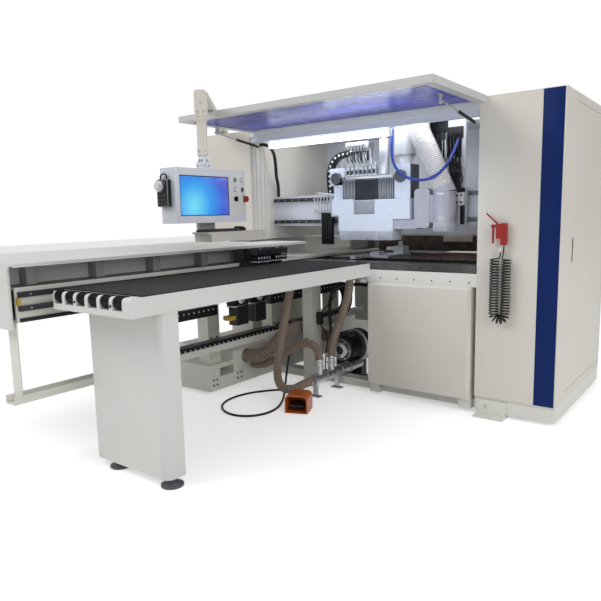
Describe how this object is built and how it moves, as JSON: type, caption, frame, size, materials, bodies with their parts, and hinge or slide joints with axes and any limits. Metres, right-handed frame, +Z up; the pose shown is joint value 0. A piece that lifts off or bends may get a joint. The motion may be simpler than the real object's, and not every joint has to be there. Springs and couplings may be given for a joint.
{
  "type": "cnc panel boring machine",
  "caption": "Floor-standing CNC boring machine for wood panels: roller-ended feed tables, side clamp beam, bridge with boring head and router, raised lid, swing-arm control console.",
  "frame": {"origin": "on the floor, below the middle of the overall box", "axes": "+X to the operator's right across the machine, +Y the way a panel is fed, +Z up"},
  "size_m": [3.026, 5.664, 2.067],
  "materials": {
    "warm_white_paint": "satin powder coat",
    "base_grey_paint": "satin powder coat",
    "dark_machine_paint": "satin",
    "ground_steel": "ground",
    "galvanised_sheet": "dull spangle",
    "lid_film": "glossy film",
    "black_rubber": "matt",
    "black_plastic": "matt",
    "machined_aluminium": "machined",
    "white_plastic": "satin",
    "amber_hose": "translucent",
    "grey_hose": "ribbed",
    "light_grey_plastic": "satin",
    "green_plastic": "gloss",
    "red_plastic": "gloss",
    "orange_paint": "hammered"
  },
  "bodies": {
    "base": {"base_frame": "base_grey_paint", "levelling_feet": "black_rubber", "table_pedestals": "warm_white_paint", "infeed_table_frame": "warm_white_paint", "outfeed_table_frame": "warm_white_paint", "table_mats": "black_rubber", "clamp_beam": "base_grey_paint", "linear_rails": "ground_steel", "clamp_covers": "warm_white_paint", "chain_tray": "galvanised_sheet", "drag_chains": "black_plastic", "right_cabinet": "warm_white_paint", "left_cabinet": "warm_white_paint", "front_header": "warm_white_paint", "rear_wall": "warm_white_paint", "gantry_beam": "base_grey_paint", "suction_hoses": "amber_hose", "bed_plates": "machined_aluminium", "panel_pusher": "machined_aluminium", "lower_covers": "warm_white_paint", "ring_blower": "dark_machine_paint", "suction_manifold": "galvanised_sheet", "foot_switch_guard": "orange_paint", "foot_switch_cable": "black_rubber", "blow_gun_body": "red_plastic", "blow_gun_hose": "black_plastic"},
    "end_rollers": {"infeed_end_rollers": "black_plastic"},
    "near_clamp": {"clamp_carriage_near": "dark_machine_paint", "clamp_servo_near": "dark_machine_paint"},
    "near_jaw": {"clamp_jaw_near": "ground_steel"},
    "far_clamp": {"clamp_carriage_far": "dark_machine_paint", "clamp_servo_far": "dark_machine_paint"},
    "far_jaw": {"clamp_jaw_far": "ground_steel"},
    "lid": {"lid_panel": "machined_aluminium", "lid_liner": "lid_film"},
    "strut_bodies": {"strut_cylinders": "dark_machine_paint"},
    "strut_pistons": {"strut_rods": "ground_steel"},
    "head_saddle": {"head_carriage": "base_grey_paint"},
    "boring_head": {"drill_block": "machined_aluminium", "drill_motors": "dark_machine_paint", "head_cover": "warm_white_paint", "bristle_skirts": "white_plastic", "head_valves": "machined_aluminium", "dust_chute": "white_plastic", "router_unit": "light_grey_plastic", "head_hoses": "grey_hose"},
    "router": {"router_tool": "ground_steel"},
    "door": {"cabinet_door": "warm_white_paint"},
    "boom": {"control_boom": "warm_white_paint"},
    "console": {"control_box": "warm_white_paint", "keyboard_tray": "warm_white_paint"},
    "button_lower_left": {"push_button_a1": "white_plastic"},
    "button_upper_left": {"push_button_a2": "green_plastic"},
    "button_lower_right": {"push_button_b1": "black_plastic"},
    "button_upper_right": {"push_button_b2": "white_plastic"},
    "selector": {"mode_selector": "black_plastic"},
    "stop_button": {"emergency_stop": "red_plastic"},
    "jog_wheel": {"handwheel": "white_plastic"},
    "pedal": {"foot_pedal": "black_plastic"},
    "trigger": {"gun_trigger": "red_plastic"}
  },
  "joints": [
    {"name": "end_roller_spin", "type": "hinge", "parent": "base", "child": "end_rollers", "pos_m": [0, -2.658, 0.942], "axis": [1, 0, 0], "continuous": true},
    {"name": "near_clamp_travel", "type": "slide", "parent": "base", "child": "near_clamp", "axis": [0, 1, 0], "range_m": [-1.35, 0]},
    {"name": "near_jaw_close", "type": "slide", "parent": "near_clamp", "child": "near_jaw", "axis": [0, 0, 1], "range_m": [-0.018, 0]},
    {"name": "far_clamp_travel", "type": "slide", "parent": "base", "child": "far_clamp", "axis": [0, 1, 0], "range_m": [0, 1.35]},
    {"name": "far_jaw_close", "type": "slide", "parent": "far_clamp", "child": "far_jaw", "axis": [0, 0, 1], "range_m": [-0.018, 0]},
    {"name": "lid_swing", "type": "hinge", "parent": "base", "child": "lid", "pos_m": [0, -0.624, 1.974], "axis": [1, 0, 0], "range_deg": [0, 85]},
    {"name": "strut_body_swing", "type": "hinge", "parent": "base", "child": "strut_bodies", "pos_m": [0, -0.575, 1.872], "axis": [1, 0, 0], "range_deg": [0, 89.34]},
    {"name": "strut_piston_stroke", "type": "slide", "parent": "strut_bodies", "child": "strut_pistons", "axis": [0, -0.991, 0.1335], "range_m": [-0.1503, 0]},
    {"name": "head_traverse", "type": "slide", "parent": "base", "child": "head_saddle", "axis": [1, 0, 0], "range_m": [-0.25, 0.2]},
    {"name": "head_lift", "type": "slide", "parent": "head_saddle", "child": "boring_head", "axis": [0, 0, 1], "range_m": [-0.09, 0]},
    {"name": "router_spin", "type": "hinge", "parent": "boring_head", "child": "router", "pos_m": [0.69, -0.4, 1.3], "axis": [0, 0, 1], "continuous": true},
    {"name": "door_swing", "type": "hinge", "parent": "base", "child": "door", "pos_m": [1.513, 0.56, 1.07], "axis": [0, 0, 1], "range_deg": [0, 100]},
    {"name": "boom_swing", "type": "hinge", "parent": "base", "child": "boom", "pos_m": [-1.24, -0.551, 2.04], "axis": [0, 0, 1], "range_deg": [-45, 0]},
    {"name": "console_swivel", "type": "hinge", "parent": "boom", "child": "console", "pos_m": [-0.289, -1.712, 1.69], "axis": [0, 0, 1], "range_deg": [-60, 60]},
    {"name": "lower_left_press", "type": "slide", "parent": "console", "child": "button_lower_left", "axis": [-1, 0, 0], "range_m": [0, 0.0035], "stiffness_N_per_m": 600},
    {"name": "upper_left_press", "type": "slide", "parent": "console", "child": "button_upper_left", "axis": [-1, 0, 0], "range_m": [0, 0.0035], "stiffness_N_per_m": 600},
    {"name": "lower_right_press", "type": "slide", "parent": "console", "child": "button_lower_right", "axis": [-1, 0, 0], "range_m": [0, 0.0035], "stiffness_N_per_m": 600},
    {"name": "upper_right_press", "type": "slide", "parent": "console", "child": "button_upper_right", "axis": [-1, 0, 0], "range_m": [0, 0.0035], "stiffness_N_per_m": 600},
    {"name": "selector_turn", "type": "hinge", "parent": "console", "child": "selector", "pos_m": [-0.219, -1.515, 1.429], "axis": [1, 0, 0], "range_deg": [-45, 45]},
    {"name": "stop_press", "type": "slide", "parent": "console", "child": "stop_button", "axis": [-1, 0, 0], "range_m": [0, 0.006], "stiffness_N_per_m": 1500},
    {"name": "jog_wheel_turn", "type": "hinge", "parent": "console", "child": "jog_wheel", "pos_m": [-0.325, -2.027, 1.5], "axis": [0, 1, 0], "continuous": true},
    {"name": "pedal_press", "type": "hinge", "parent": "base", "child": "pedal", "pos_m": [-0.0147, -1.1533, 0.045], "axis": [0.9239, 0.3827, 0], "range_deg": [0, 10], "stiffness_Nm_per_rad": 20},
    {"name": "trigger_squeeze", "type": "hinge", "parent": "base", "child": "trigger", "pos_m": [1.12, -0.645, 1.228], "axis": [0, 1, 0], "range_deg": [-8, 0], "stiffness_Nm_per_rad": 4}
  ],
  "couplings": [
    {"joint": "strut_body_swing", "follows": "lid_swing", "ratio": 1.0499},
    {"joint": "strut_piston_stroke", "follows": "lid_swing", "m_per_rad": -0.10111}
  ]
}
